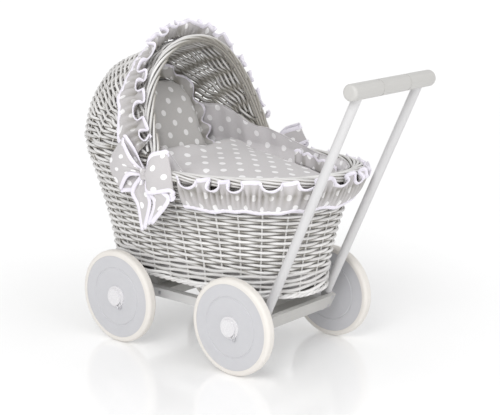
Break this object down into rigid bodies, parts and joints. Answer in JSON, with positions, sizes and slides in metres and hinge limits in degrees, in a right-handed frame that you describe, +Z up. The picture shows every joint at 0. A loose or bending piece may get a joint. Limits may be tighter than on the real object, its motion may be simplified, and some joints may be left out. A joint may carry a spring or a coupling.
{
  "type": "doll stroller",
  "caption": "Wicker doll pram with a fixed woven hood, quilted dotted bedding, a slanted wooden push handle and rubber-tyred disc wheels.",
  "frame": {"origin": "on the floor below the centre of the pram's bounding box", "axes": "+X towards the push handle, +Y to the right of whoever pushes it, +Z up"},
  "size_m": [0.6748, 0.3766, 0.5681],
  "materials": {
    "painted_wood": "satin pale grey paint",
    "painted_willow": "satin pale grey paint on round willow",
    "plain_wood": "bare, sanded",
    "steel": "zinc plated",
    "dotted_cotton": "matte woven cotton, grey with white dots",
    "white_binding": "matte cotton tape",
    "mattress_cotton": "matte woven cotton",
    "wheel_paint": "satin pale grey paint",
    "white_rubber": "matte",
    "white_plastic": "gloss"
  },
  "bodies": {
    "root": {"rail_left": "painted_wood", "rail_right": "painted_wood", "front_board": "painted_wood", "rear_board": "painted_wood", "rear_apron": "painted_wood", "front_bearer": "painted_wood", "rear_bearer": "painted_wood", "frame_screws": "steel", "bearer_screws": "steel", "front_axle": "steel", "rear_axle": "steel", "axle_spacers": "white_plastic", "bar_left": "painted_wood", "bar_right": "painted_wood", "grip": "painted_wood", "grip_pins": "plain_wood", "bar_screws": "steel", "apron_screws": "steel", "basket_base": "painted_wood", "basket_shell": "painted_willow", "foot_ring": "painted_willow", "rim_border": "painted_willow", "hood_shell": "painted_willow", "hood_border": "painted_willow", "basket_screws": "steel", "lining": "dotted_cotton", "mattress": "mattress_cotton", "pillow": "dotted_cotton", "pillow_frill": "dotted_cotton", "duvet": "dotted_cotton", "rim_ruffle": "dotted_cotton", "hood_ruffle": "dotted_cotton", "bow_left": "dotted_cotton", "bow_right": "dotted_cotton"},
    "wheel_front_left": {"disc_front_left": "wheel_paint", "tyre_front_left": "white_rubber", "hub_front_left": "white_plastic", "cap_front_left": "white_plastic", "clip_front_left": "steel"},
    "wheel_front_right": {"disc_front_right": "wheel_paint", "tyre_front_right": "white_rubber", "hub_front_right": "white_plastic", "cap_front_right": "white_plastic", "clip_front_right": "steel"},
    "wheel_rear_left": {"disc_rear_left": "wheel_paint", "tyre_rear_left": "white_rubber", "hub_rear_left": "white_plastic", "cap_rear_left": "white_plastic", "clip_rear_left": "steel"},
    "wheel_rear_right": {"disc_rear_right": "wheel_paint", "tyre_rear_right": "white_rubber", "hub_rear_right": "white_plastic", "cap_rear_right": "white_plastic", "clip_rear_right": "steel"}
  },
  "joints": [
    {"name": "wheel_front_left_spin", "type": "hinge", "parent": "root", "child": "wheel_front_left", "pos_m": [-0.15986, -0.139, 0.085], "axis": [0, 1, 0], "continuous": true},
    {"name": "wheel_front_right_spin", "type": "hinge", "parent": "root", "child": "wheel_front_right", "pos_m": [-0.15986, 0.139, 0.085], "axis": [0, 1, 0], "continuous": true},
    {"name": "wheel_rear_left_spin", "type": "hinge", "parent": "root", "child": "wheel_rear_left", "pos_m": [0.11114, -0.139, 0.085], "axis": [0, 1, 0], "continuous": true},
    {"name": "wheel_rear_right_spin", "type": "hinge", "parent": "root", "child": "wheel_rear_right", "pos_m": [0.11114, 0.139, 0.085], "axis": [0, 1, 0], "continuous": true}
  ]
}
